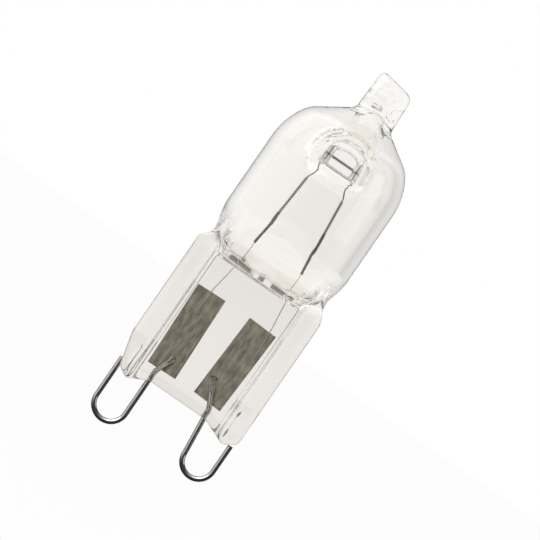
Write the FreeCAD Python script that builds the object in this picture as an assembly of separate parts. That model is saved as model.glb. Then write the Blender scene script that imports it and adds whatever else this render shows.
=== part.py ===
import FreeCAD, Part
import math
import os
from FreeCAD import Vector

# Halogen capsule bulb, millimetres. The lamp's axis is Z with the exhaust tip up, the flat press seal
# lies in the XZ plane, and the front of the lamp faces -Y. The origin is the middle of the press seal's
# bottom edge.

# Bulb: a blown quartz tube with a domed top and a round foot
BULB_RADIUS = 6.66
WALL = 1.0
FOOT_CENTRE = 17.9
DOME_CENTRE = 24.95
DOME_SIDE_ANGLE = 32.0
DOME_CORNER_RADIUS = 2.9
DOME_CONE_ANGLE = 33.0

# Press seal: a thin web between two thick ribs, with rounded shoulders up to the bulb
WEB_THICKNESS = 2.2
SHOULDER_LOW = 12.95
SHOULDER_HIGH = 18.0
SHOULDER_RADIUS = 7.6
RIB_DEPTH = 4.8
RIB_WIDTH = 2.25
RIB_FLANK_SLOPE = 0.4
RIB_EDGE_CHAMFER = 0.38
PRESS_LEFT = BULB_RADIUS + 0.32
PRESS_RIGHT = BULB_RADIUS + 0.19
WAIST_LEFT = BULB_RADIUS - 0.66
WAIST_RIGHT = BULB_RADIUS - 0.54
WAIST_HEIGHT = 14.7
RIB_TOP_LEFT = 13.65
RIB_TOP_RIGHT = 13.1
RIB_TOP_RADIUS_LEFT = 0.7
RIB_TOP_RADIUS_RIGHT = 1.6
RIB_ROOT_RADIUS = 0.3
WAIST_RADIUS_LEFT = 0.7
WAIST_RADIUS_RIGHT = 1.0
NECK_INSET = 0.6
NECK_RADIUS = 2.0
TOE_DROP = 1.0
TOE_RADIUS = 0.5
TOE_SIDE_LOW = -0.25
TOE_SIDE_RADIUS_LEFT = 0.4
TOE_SIDE_RADIUS_RIGHT = 0.8
TOE_INSET_LEFT = 1.85
TOE_INSET_RIGHT = 1.3
TOE_CHAMFER_RISE = 2.9
TOE_CHAMFER_INSET = 0.78
TOE_CHAMFER_RADIUS = 2.5
HEEL_INSET = 3.8
HEEL_RADIUS = 0.8
TOE_RELIEF_WIDTH = 1.1
TOE_RELIEF_TOP = 2.55
TOE_RELIEF_INSET = 0.85
TOE_RELIEF_DEPTH = 0.35
TOE_RELIEF_RADIUS = 0.52

# Exhaust tip: the pump tube, pinched flat and drawn off
TIP_LEFT = 1.93
TIP_RIGHT = 2.28
TIP_TOP_LEFT = 1.64
TIP_TOP_RIGHT = 2.04
TIP_HEIGHT_LEFT = 35.6
TIP_HEIGHT_RIGHT = 34.85
TIP_DEPTH_LOW = 3.0
TIP_DEPTH_HIGH = 2.3
TIP_CORNER_RADIUS = 0.35
TIP_EDGE_RADIUS = 0.45
BUBBLE_HEIGHT = 32.4
BUBBLE_CENTRE_X = -0.15
BUBBLE_RADIUS = 0.32
BUBBLE_END_RADIUS = 0.18
BUBBLE_LENGTH = 1.1

# Dimples: pockets pressed in from front and back until their floors fuse and clamp the filament
DIMPLE_CENTRE_X = 0.12
DIMPLE_FLOOR_WIDTH = 2.44
DIMPLE_FLOOR_LOW = 25.72
DIMPLE_FLOOR_HEIGHT = 1.66
DIMPLE_FLOOR_RADIUS = 1.42
DIMPLE_FLOOR_GLASS = 1.1
DIMPLE_MOUTH_WIDTH = 5.9
DIMPLE_MOUTH_RADIUS = 3.2
DIMPLE_MOUTH_LIFT = 0.1
DIMPLE_MOUTH_RISE = 1.7
DIMPLE_WALL = 0.42

# Foils: thin strips with feathered edges, laid in the middle of the web
FOIL_WIDTH = 2.98
FOIL_HEIGHT = 8.5
FOIL_THICKNESS = 0.04
FOIL_EDGE = 0.012
FOIL_FEATHER = 0.35
FOIL_BOTTOM = 1.42
FOIL_TOP = FOIL_BOTTOM + FOIL_HEIGHT
FOIL_LEFT_X = -2.76
FOIL_RIGHT_X = 2.27
FOIL_LEFT_LEAN = -1.7
FOIL_RIGHT_LEAN = 2.6

# Contact loops: thick base wire, welded to the foil and bent back in a U
WIRE_RADIUS = 0.25
WELD_SINK = 0.03
CAPILLARY = 0.05
KNEE_RADIUS = 1.0
LEFT_WELD = (FOIL_LEFT_X + 0.34, FOIL_BOTTOM + 1.68)
LEFT_KNEE = (FOIL_LEFT_X - 0.46, 0.95)
LEFT_INNER_X = FOIL_LEFT_X - 0.44
LEFT_OUTER_X = 0.6 - PRESS_LEFT
LEFT_OUTER_TOP = 0.42
LEFT_LOW = -5.58
RIGHT_WELD = (FOIL_RIGHT_X - 0.49, FOIL_BOTTOM + 1.63)
RIGHT_KNEE = (FOIL_RIGHT_X + 0.55, 0.95)
RIGHT_INNER_X = FOIL_RIGHT_X + 1.0
RIGHT_OUTER_X = PRESS_RIGHT - 0.47
RIGHT_OUTER_TOP = 0.3 - TOE_DROP
RIGHT_LOW = -5.36
WELD_PAD_WIDTH = 0.62
WELD_PAD_LENGTH = 0.8
WELD_PAD_THICKNESS = 0.2
WELD_PAD_RISE = 0.2
WELD_PAD_FOOT_RADIUS = 0.2
WELD_PAD_HEAD_RADIUS = 0.25

# Filament: coiled wire, tight where the leads enter it and drawn thin beside the dimples
COIL_RADIUS = 0.14
STRAND_RADIUS = 0.07
COIL_BORE_CLEARANCE = 0.01
LEFT_COIL_END = (-2.47, 15.9)
LEFT_COIL_TIGHT = (-2.1, 19.45)
LEFT_COIL_TOP = (-1.82, 23.55)
RIGHT_COIL_END = (2.85, 15.9)
RIGHT_COIL_TIGHT = (2.42, 20.1)
RIGHT_COIL_TOP = (2.08, 23.6)
LEFT_LEG_KNEE = (DIMPLE_CENTRE_X - 1.54, DIMPLE_FLOOR_LOW - 1.32)
RIGHT_LEG_KNEE = (DIMPLE_CENTRE_X + 1.58, DIMPLE_FLOOR_LOW - 1.32)
CLAMP_HEIGHT = DIMPLE_FLOOR_LOW + 0.68
CLAMP_HALF_LENGTH = 1.15
CLAMP_BEND = 0.3

# Inner leads: thin wires between the foils and the filament's ends
LEAD_RADIUS = 0.05
LEAD_SINK = 0.015
LEAD_LAP = 2.5
LEAD_IN_COIL = 1.8
LEFT_LEAD_PATH = [
    (FOIL_LEFT_X - 0.44, FOIL_TOP - LEAD_LAP),
    (FOIL_LEFT_X - 0.32, FOIL_TOP + 0.2),
    (LEFT_COIL_END[0] - 0.13, SHOULDER_LOW + 0.25),
    LEFT_COIL_END,
    (LEFT_COIL_END[0] + 0.19, LEFT_COIL_END[1] + LEAD_IN_COIL),
]
RIGHT_LEAD_PATH = [
    (FOIL_RIGHT_X + FOIL_WIDTH / 2 - 0.22, FOIL_TOP - LEAD_LAP),
    (FOIL_RIGHT_X + FOIL_WIDTH / 2 - 0.38, FOIL_TOP + 0.4),
    (RIGHT_COIL_END[0] + 0.15, SHOULDER_LOW + 0.45),
    RIGHT_COIL_END,
    (RIGHT_COIL_END[0] - 0.18, RIGHT_COIL_END[1] + LEAD_IN_COIL),
]
WIRE_DEPTH = -(FOIL_THICKNESS / 2 + WIRE_RADIUS - WELD_SINK)
LEAD_DEPTH = -(FOIL_THICKNESS / 2 + LEAD_RADIUS - LEAD_SINK)


def front(u, v, depth=0.0):
    """Point of the front view: u to the right, v up."""
    return Vector(u, depth, v)


def side(u, v, depth=0.0):
    """Point of the side view: u to the back, v up."""
    return Vector(depth, u, v)


def plan(u, v, depth=0.0):
    """Point of the plan view: u to the right, v to the back."""
    return Vector(u, v, depth)


def rounded(corners, place, depth=0.0, closed=True):
    """Wire of straight runs through corners (u, v, radius), each corner rounded by a tangent arc."""
    points = [place(c[0], c[1], depth) for c in corners]
    radii = [c[2] for c in corners]
    count = len(points)
    cuts = []
    for i in range(count):
        here = points[i]
        if radii[i] == 0 or (not closed and i in (0, count - 1)):
            cuts.append((here, None, here))
            continue
        back = (points[i - 1] - here).normalize()
        ahead = (points[(i + 1) % count] - here).normalize()
        half = back.getAngle(ahead) / 2
        run = radii[i] / math.tan(half)
        middle = (back + ahead).normalize() * (radii[i] / math.sin(half) - radii[i])
        cuts.append((here + back * run, here + middle, here + ahead * run))
    edges = []
    for i in range(count):
        start, middle, end = cuts[i]
        if middle is not None:
            edges.append(Part.Arc(start, middle, end).toShape())
        if i == count - 1 and not closed:
            break
        following = cuts[(i + 1) % count][0]
        if (following - end).Length > 1e-6:
            edges.append(Part.makeLine(end, following))
    return Part.Wire(edges)


def plate(corners, place, low, high):
    """Prism of a rounded outline between two depths."""
    face = Part.Face(rounded(corners, place, low))
    return face.extrude(place(0, 0, high) - place(0, 0, low))


def tube(path, radius):
    """Round bar along a path: bent where its runs are joined by arcs, mitred where all runs are straight."""
    start = path.Edges[0]
    heading = start.tangentAt(start.FirstParameter)
    ring = Part.Wire([Part.makeCircle(radius, start.valueAt(start.FirstParameter), heading)])
    straight = all(edge.Curve.TypeId == "Part::GeomLine" for edge in path.Edges)
    return path.makePipeShell([ring], True, False, 1 if straight else 0)


def polar(centre, radius, degrees):
    """Point at an angle on a circle in the profile plane, as (u, v)."""
    turn = math.radians(degrees)
    return (centre[0] + radius * math.cos(turn), centre[1] + radius * math.sin(turn))


def arc(centre, radius, first, last, place):
    """Arc edge between two angles of a circle in the profile plane."""
    ends = [polar(centre, radius, a) for a in (first, (first + last) / 2, last)]
    return Part.Arc(*[place(u, v) for u, v in ends]).toShape()


def bulb_shape():
    """Body of revolution of the bulb: round foot, wall, round shoulder and cone."""
    corner_centre = polar((0, DOME_CENTRE), BULB_RADIUS - DOME_CORNER_RADIUS, DOME_SIDE_ANGLE)
    cone_normal = 90 - DOME_CONE_ANGLE
    cone_low = polar(corner_centre, DOME_CORNER_RADIUS, cone_normal)
    apex = cone_low[1] + cone_low[0] * math.tan(math.radians(DOME_CONE_ANGLE))
    edges = [
        arc((0, FOOT_CENTRE), BULB_RADIUS, -90, 0, front),
        Part.makeLine(front(BULB_RADIUS, FOOT_CENTRE), front(BULB_RADIUS, DOME_CENTRE)),
        arc((0, DOME_CENTRE), BULB_RADIUS, 0, DOME_SIDE_ANGLE, front),
        arc(corner_centre, DOME_CORNER_RADIUS, DOME_SIDE_ANGLE, cone_normal, front),
        Part.makeLine(front(*cone_low), front(0, apex)),
        Part.makeLine(front(0, apex), front(0, FOOT_CENTRE - BULB_RADIUS)),
    ]
    face = Part.Face(Part.Wire(edges))
    return face.revolve(Vector(0, 0, 0), Vector(0, 0, 1), 360)


def gas_space():
    """Body of revolution of the gas space: a plain capsule, so the glass is thicker under the tip."""
    radius = BULB_RADIUS - WALL
    edges = [
        arc((0, FOOT_CENTRE), radius, -90, 0, front),
        Part.makeLine(front(radius, FOOT_CENTRE), front(radius, DOME_CENTRE)),
        arc((0, DOME_CENTRE), radius, 0, 90, front),
        Part.makeLine(front(0, DOME_CENTRE + radius), front(0, FOOT_CENTRE - radius)),
    ]
    face = Part.Face(Part.Wire(edges))
    return face.revolve(Vector(0, 0, 0), Vector(0, 0, 1), 360)


def shoulder_centre():
    """Centre of the front shoulder's arc in the side view."""
    low = (-WEB_THICKNESS / 2, SHOULDER_LOW)
    high = (-BULB_RADIUS, SHOULDER_HIGH)
    chord = math.hypot(high[0] - low[0], high[1] - low[1])
    offset = math.sqrt(SHOULDER_RADIUS ** 2 - (chord / 2) ** 2)
    along = ((high[0] - low[0]) / chord, (high[1] - low[1]) / chord)
    return ((low[0] + high[0]) / 2 + along[1] * offset, (low[1] + high[1]) / 2 - along[0] * offset)


def shoulder_prism(inset):
    """Side-view prism that rounds the bulb's foot down to the web, drawn in by inset."""
    centre = shoulder_centre()
    radius = SHOULDER_RADIUS - inset
    outer = BULB_RADIUS + WALL
    inner = WEB_THICKNESS / 2 if inset == 0 else 0
    first = 180 + math.degrees(math.acos((outer + centre[0]) / radius)) if outer + centre[0] < radius else 180
    last = 270 - math.degrees(math.asin((inner + centre[0]) / radius))
    top = DOME_CENTRE + 2 * BULB_RADIUS
    start = polar(centre, radius, first)
    end = polar(centre, radius, last)
    middle = polar(centre, radius, (first + last) / 2)
    foot = end[1] - WEB_THICKNESS / 2 if inset == 0 else end[1]
    edges = [
        Part.makeLine(side(start[0], top), side(*start)),
        Part.Arc(side(*start), side(*middle), side(*end)).toShape(),
    ]
    if inset == 0:
        edges += [
            Part.makeLine(side(*end), side(end[0], foot)),
            Part.makeLine(side(end[0], foot), side(-end[0], foot)),
            Part.makeLine(side(-end[0], foot), side(-end[0], end[1])),
        ]
    edges += [
        Part.Arc(side(-end[0], end[1]), side(-middle[0], middle[1]), side(-start[0], start[1])).toShape(),
        Part.makeLine(side(-start[0], start[1]), side(-start[0], top)),
        Part.makeLine(side(-start[0], top), side(start[0], top)),
    ]
    face = Part.Face(Part.Wire(edges))
    face.translate(Vector(-2 * BULB_RADIUS, 0, 0))
    return face.extrude(Vector(4 * BULB_RADIUS, 0, 0))


def press_seal():
    """Flat press seal: outline of ribs, waist and toes, thinned to the web between the ribs."""
    half = RIB_DEPTH / 2
    outline = [
        (HEEL_INSET - PRESS_LEFT, 0, HEEL_RADIUS),
        (TOE_INSET_LEFT - PRESS_LEFT, -TOE_DROP, TOE_RADIUS),
        (TOE_CHAMFER_INSET - PRESS_LEFT, TOE_SIDE_LOW, TOE_SIDE_RADIUS_LEFT),
        (-PRESS_LEFT, TOE_CHAMFER_RISE, TOE_CHAMFER_RADIUS),
        (-PRESS_LEFT, RIB_TOP_LEFT, RIB_TOP_RADIUS_LEFT),
        (-WAIST_LEFT, WAIST_HEIGHT, WAIST_RADIUS_LEFT),
        (-BULB_RADIUS, SHOULDER_HIGH - NECK_INSET, NECK_RADIUS),
        (NECK_INSET - BULB_RADIUS, SHOULDER_HIGH + NECK_INSET, 0),
        (BULB_RADIUS - NECK_INSET, SHOULDER_HIGH + NECK_INSET, 0),
        (BULB_RADIUS, SHOULDER_HIGH - NECK_INSET, NECK_RADIUS),
        (WAIST_RIGHT, WAIST_HEIGHT, WAIST_RADIUS_RIGHT),
        (PRESS_RIGHT, RIB_TOP_RIGHT, RIB_TOP_RADIUS_RIGHT),
        (PRESS_RIGHT, TOE_SIDE_LOW, TOE_SIDE_RADIUS_RIGHT),
        (PRESS_RIGHT - TOE_INSET_RIGHT, -TOE_DROP, TOE_RADIUS),
        (PRESS_RIGHT - HEEL_INSET, 0, HEEL_RADIUS),
    ]
    return plate(outline, front, -half, half)


def rib_relief():
    """Tool that thins the press to its web, front and back, leaving the ribs with sloping flanks."""
    web = WEB_THICKNESS / 2
    face = RIB_DEPTH / 2 + WALL
    flare = RIB_FLANK_SLOPE * (face - web)
    left = RIB_WIDTH - PRESS_LEFT
    right = PRESS_RIGHT - RIB_WIDTH
    tools = []
    for way in (-1, 1):
        corners = [
            (left, way * web, RIB_ROOT_RADIUS),
            (right, way * web, RIB_ROOT_RADIUS),
            (right + flare, way * face, 0),
            (left - flare, way * face, 0),
        ]
        tools.append(plate(corners, plan, -2 * TOE_DROP, SHOULDER_HIGH + WALL))
    return tools


def toe_reliefs():
    """Shallow round-topped hollows on the ribs' toes, front and back."""
    half = TOE_RELIEF_WIDTH / 2
    face = RIB_DEPTH / 2
    tools = []
    for middle in (-PRESS_LEFT + TOE_RELIEF_INSET, PRESS_RIGHT - TOE_RELIEF_INSET):
        corners = [
            (middle - half, -2 * TOE_DROP, 0),
            (middle + half, -2 * TOE_DROP, 0),
            (middle + half, TOE_RELIEF_TOP, TOE_RELIEF_RADIUS),
            (middle - half, TOE_RELIEF_TOP, TOE_RELIEF_RADIUS),
        ]
        for way in (-1, 1):
            tools.append(plate(corners, front, way * (face - TOE_RELIEF_DEPTH), way * (face + WALL)))
    return tools


def exhaust_tip():
    """Pinched stub of the pump tube, flat in front and back and thinner at the top."""
    foot = DOME_CENTRE + DOME_CORNER_RADIUS
    outline = [
        (-TIP_LEFT, foot, 0),
        (TIP_RIGHT, foot, 0),
        (TIP_TOP_RIGHT, TIP_HEIGHT_RIGHT, TIP_CORNER_RADIUS),
        (-TIP_TOP_LEFT, TIP_HEIGHT_LEFT, TIP_CORNER_RADIUS),
    ]
    block = plate(outline, front, -TIP_DEPTH_LOW, TIP_DEPTH_LOW)
    wedge = [
        (-TIP_DEPTH_LOW / 2, foot, 0),
        (TIP_DEPTH_LOW / 2, foot, 0),
        (TIP_DEPTH_HIGH / 2, TIP_HEIGHT_LEFT + WALL, 0),
        (-TIP_DEPTH_HIGH / 2, TIP_HEIGHT_LEFT + WALL, 0),
    ]
    tip = block.common(plate(wedge, side, -2 * TIP_LEFT, 2 * TIP_RIGHT))
    upright = [e for e in tip.Edges if abs(e.tangentAt(e.FirstParameter).z) > 0.9]
    return tip.makeFillet(TIP_EDGE_RADIUS, upright)


def exhaust_bubble():
    """Flattened bubble in the tip: what the pinch left of the pump tube's bore."""
    middle = Vector(BUBBLE_CENTRE_X, 0, BUBBLE_HEIGHT)
    left, right = [
        Part.makeCone(BUBBLE_RADIUS, BUBBLE_END_RADIUS, BUBBLE_LENGTH / 2, middle, Vector(way, 0, 0))
        for way in (-1, 1)
    ]
    return left.fuse(right)


def dimple(way, growth):
    """Pocket with a round arch and flat foot, narrowing from the bulb's face to the floor at the filament."""
    floor = DIMPLE_FLOOR_GLASS / 2 if growth == 0 else -DIMPLE_FLOOR_GLASS / 2
    mouth = BULB_RADIUS + WALL
    low = DIMPLE_FLOOR_LOW - growth
    high = DIMPLE_FLOOR_LOW + DIMPLE_FLOOR_HEIGHT + growth
    half = DIMPLE_FLOOR_WIDTH / 2 + growth
    mouth_half = DIMPLE_MOUTH_WIDTH / 2 + growth
    wedge = Part.makeWedge(
        -half, floor, low, low + DIMPLE_MOUTH_LIFT, -mouth_half,
        half, mouth, high, high + DIMPLE_MOUTH_RISE, mouth_half,
    )
    axis = Vector(0, floor, DIMPLE_FLOOR_LOW + DIMPLE_FLOOR_HEIGHT / 2)
    cone = Part.makeCone(
        DIMPLE_FLOOR_RADIUS + growth, DIMPLE_MOUTH_RADIUS + growth, mouth - floor, axis, Vector(0, 1, 0)
    )
    pocket = wedge.common(cone)
    pocket.translate(Vector(DIMPLE_CENTRE_X, 0, 0))
    return pocket if way > 0 else pocket.mirror(Vector(0, 0, 0), Vector(0, 1, 0))


def foil(middle, lean):
    """Foil strip with feathered long edges, leaning by some degrees about its foot."""
    half = FOIL_WIDTH / 2
    thick = FOIL_THICKNESS / 2
    thin = FOIL_EDGE / 2
    corners = [
        (-half, -thin, 0),
        (-half + FOIL_FEATHER, -thick, 0),
        (half - FOIL_FEATHER, -thick, 0),
        (half, -thin, 0),
        (half, thin, 0),
        (half - FOIL_FEATHER, thick, 0),
        (-half + FOIL_FEATHER, thick, 0),
        (-half, thin, 0),
    ]
    strip = plate(corners, plan, 0, FOIL_HEIGHT)
    strip.rotate(Vector(0, 0, 0), Vector(0, 1, 0), lean)
    strip.translate(Vector(middle, 0, FOIL_BOTTOM))
    return strip


def loop_path(weld, knee, inner_x, outer_x, outer_top, low):
    """Centre line of a contact loop, from the weld down through the press, round the U and up."""
    bend = abs(outer_x - inner_x) / 2
    middle = (inner_x + outer_x) / 2
    top = low + WIRE_RADIUS + bend
    corners = [
        (weld[0], weld[1], 0),
        (knee[0], knee[1], KNEE_RADIUS),
        (inner_x, top, 0),
    ]
    ends = [front(u, v, WIRE_DEPTH) for u, v in ((inner_x, top), (middle, top - bend), (outer_x, top))]
    edges = rounded(corners, front, WIRE_DEPTH, False).Edges
    edges.append(Part.Arc(*ends).toShape())
    edges.append(Part.makeLine(ends[2], front(outer_x, outer_top, WIRE_DEPTH)))
    return Part.Wire(edges)


def weld_pad(weld, knee):
    """Flattened end of the base wire where it is spot-welded to the foil."""
    lean = math.degrees(math.atan2(weld[0] - knee[0], weld[1] - knee[1]))
    half = WELD_PAD_WIDTH / 2
    corners = [
        (-half, -WELD_PAD_LENGTH, WELD_PAD_FOOT_RADIUS),
        (half, -WELD_PAD_LENGTH, WELD_PAD_FOOT_RADIUS),
        (half, WELD_PAD_RISE, WELD_PAD_HEAD_RADIUS),
        (-half, WELD_PAD_RISE, WELD_PAD_HEAD_RADIUS),
    ]
    face = -FOIL_THICKNESS / 2
    pad = plate(corners, front, face, face - WELD_PAD_THICKNESS)
    pad.rotate(Vector(0, 0, 0), Vector(0, 1, 0), lean)
    pad.translate(Vector(weld[0], 0, weld[1]))
    return pad


def run(points, depth):
    """Path of straight runs through points of the front view."""
    return rounded([(u, v, 0) for u, v in points], front, depth, False)


def filament():
    """Filament: two coiled legs, thin stretches beside the dimples and the clamped middle."""
    parts = []
    legs = (
        (LEFT_COIL_END, LEFT_COIL_TIGHT, LEFT_COIL_TOP, LEFT_LEG_KNEE, -1),
        (RIGHT_COIL_END, RIGHT_COIL_TIGHT, RIGHT_COIL_TOP, RIGHT_LEG_KNEE, 1),
    )
    for end, tight, top, knee, way in legs:
        clamp_x = DIMPLE_CENTRE_X + way * CLAMP_HALF_LENGTH
        strand = [
            (top[0], top[1] - COIL_RADIUS),
            knee,
            (knee[0] - way * STRAND_RADIUS, CLAMP_HEIGHT - CLAMP_BEND),
            (knee[0] - way * CLAMP_BEND, CLAMP_HEIGHT),
            (clamp_x - way * COIL_RADIUS, CLAMP_HEIGHT),
        ]
        parts.append(tube(run([end, tight, top], LEAD_DEPTH), COIL_RADIUS))
        parts.append(tube(run(strand, LEAD_DEPTH), STRAND_RADIUS))
    clamp = [(DIMPLE_CENTRE_X + way * CLAMP_HALF_LENGTH, CLAMP_HEIGHT) for way in (-1, 1)]
    parts.append(tube(run(clamp, LEAD_DEPTH), COIL_RADIUS))
    return parts[0].multiFuse(parts[1:])


def envelope_blank():
    """The quartz alone, before the metal inside it takes its room."""
    press = press_seal()
    rims = [e for e in press.Edges if abs(abs(e.CenterOfMass.y) - RIB_DEPTH / 2) < 1e-6]
    press = press.makeChamfer(RIB_EDGE_CHAMFER, rims)
    press = press.cut(rib_relief() + toe_reliefs())
    bulb = bulb_shape().common(shoulder_prism(0))
    cavity = gas_space().common(shoulder_prism(WALL))
    pockets = [dimple(way, 0) for way in (-1, 1)]
    cavity = cavity.cut([dimple(way, DIMPLE_WALL) for way in (-1, 1)])
    glass = press.multiFuse([bulb, exhaust_tip()])
    return glass.cut(pockets).cut([cavity, exhaust_bubble()])


def build():
    """Every piece of the lamp, by node name."""
    foils = {
        "foil_left": foil(FOIL_LEFT_X, FOIL_LEFT_LEAN),
        "foil_right": foil(FOIL_RIGHT_X, FOIL_RIGHT_LEAN),
    }
    loops = {
        "left": (LEFT_WELD, LEFT_KNEE, LEFT_INNER_X, LEFT_OUTER_X, LEFT_OUTER_TOP, LEFT_LOW),
        "right": (RIGHT_WELD, RIGHT_KNEE, RIGHT_INNER_X, RIGHT_OUTER_X, RIGHT_OUTER_TOP, RIGHT_LOW),
    }
    leads = {"left": LEFT_LEAD_PATH, "right": RIGHT_LEAD_PATH}
    pieces = dict(foils)
    rooms = []
    coil = filament()
    for hand in ("left", "right"):
        strip = foils["foil_" + hand]
        path = loop_path(*loops[hand])
        wire = tube(path, WIRE_RADIUS).fuse(weld_pad(*loops[hand][:2]))
        pieces["contact_loop_" + hand] = wire.cut(strip)
        rooms.append(tube(path, WIRE_RADIUS + CAPILLARY))
        line = run(leads[hand], LEAD_DEPTH)
        pieces["inner_lead_" + hand] = tube(line, LEAD_RADIUS).cut(strip)
        coil = coil.cut(tube(line, LEAD_RADIUS + COIL_BORE_CLEARANCE))
    pieces["filament"] = coil
    metal = [pieces[name] for name in pieces]
    pieces["quartz_envelope"] = envelope_blank().cut(rooms).cut(metal)
    return pieces


os.makedirs("parts", exist_ok=True)
for name, shape in build().items():
    shape = shape.removeSplitter()
    print(name, shape.isValid(), len(shape.Solids), round(shape.Volume, 4))
    shape.exportStep("parts/" + name + ".step")
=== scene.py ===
import bpy
import math
import numpy as np
from mathutils import Matrix


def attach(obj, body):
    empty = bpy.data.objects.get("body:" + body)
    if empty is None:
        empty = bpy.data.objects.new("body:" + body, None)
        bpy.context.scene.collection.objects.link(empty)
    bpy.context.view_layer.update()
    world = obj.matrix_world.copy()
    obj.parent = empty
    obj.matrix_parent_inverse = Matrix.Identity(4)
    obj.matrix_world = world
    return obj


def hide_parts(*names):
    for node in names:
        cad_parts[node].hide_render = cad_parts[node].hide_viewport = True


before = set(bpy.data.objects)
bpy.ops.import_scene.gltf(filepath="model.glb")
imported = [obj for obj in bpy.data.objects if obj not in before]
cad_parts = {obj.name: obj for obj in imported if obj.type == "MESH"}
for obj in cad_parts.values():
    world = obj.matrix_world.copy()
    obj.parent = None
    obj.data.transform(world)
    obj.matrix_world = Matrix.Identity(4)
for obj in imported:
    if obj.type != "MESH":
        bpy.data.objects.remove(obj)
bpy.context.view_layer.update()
MM = 0.001


# Contact loops.
# Thick base wire, drawn and left bright. Each is spot-welded flat to its foil, comes down through the press
# in a fine capillary, and is bent back in a U; the free end stands beside the press seal's foot.

WIRE_RADIUS = 0.25
WIRE_Y = -0.24
WELD_Y = -0.12
WELD_HALF_WIDTH = 0.31
WELD_FLAT = 0.35
WELD_RUN = 0.9
KNEE_RADIUS = 1.0
LOOP_SPACING = 0.08
LOOP_SIDES = 28

LOOPS = {
    "left": dict(weld=(-2.42, 3.1), knee=(-3.22, 0.95), inner=-3.2, outer=-6.38, top=0.42, low=-5.58),
    "right": dict(weld=(1.78, 3.05), knee=(2.82, 0.95), inner=3.27, outer=6.38, top=-0.7, low=-5.36),
}


def loop_line(weld, knee, inner, outer, top, low):
    """Centre line of a loop as (x, z) points, from the weld round the U to the free end."""
    bend = abs(outer - inner) / 2
    centre = np.array([(inner + outer) / 2, low + WIRE_RADIUS + bend])
    way = np.sign(outer - inner)
    back = np.array(weld) - np.array(knee)
    back = back / np.linalg.norm(back)
    ahead = np.array([inner, centre[1]]) - np.array(knee)
    ahead = ahead / np.linalg.norm(ahead)
    half = math.acos(float(back @ ahead)) / 2
    run = KNEE_RADIUS / math.tan(half)
    start = np.array(knee) + back * run
    end = np.array(knee) + ahead * run
    middle = back + ahead
    hub = np.array(knee) + middle / np.linalg.norm(middle) * KNEE_RADIUS / math.sin(half)
    points = [np.array(weld) * (1 - t) + start * t for t in np.linspace(0, 1, 12)]
    for t in np.linspace(0, 1, 8)[1:]:
        chord = (start - hub) * (1 - t) + (end - hub) * t
        points.append(hub + chord / np.linalg.norm(chord) * KNEE_RADIUS)
    for angle in np.linspace(0, math.pi, 33):
        points.append(centre + bend * np.array([-way * math.cos(angle), -math.sin(angle)]))
    points.append(np.array([outer, top]))
    return np.array(points)


def maths(tree, operation, *values, clamp=False):
    """Result of a Math node; each value is a socket or a number."""
    step = tree.nodes.new("ShaderNodeMath")
    step.operation = operation
    step.use_clamp = clamp
    for socket, value in zip(step.inputs, values):
        if isinstance(value, bpy.types.NodeSocket):
            tree.links.new(value, socket)
        else:
            socket.default_value = value
    return step.outputs[0]


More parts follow.
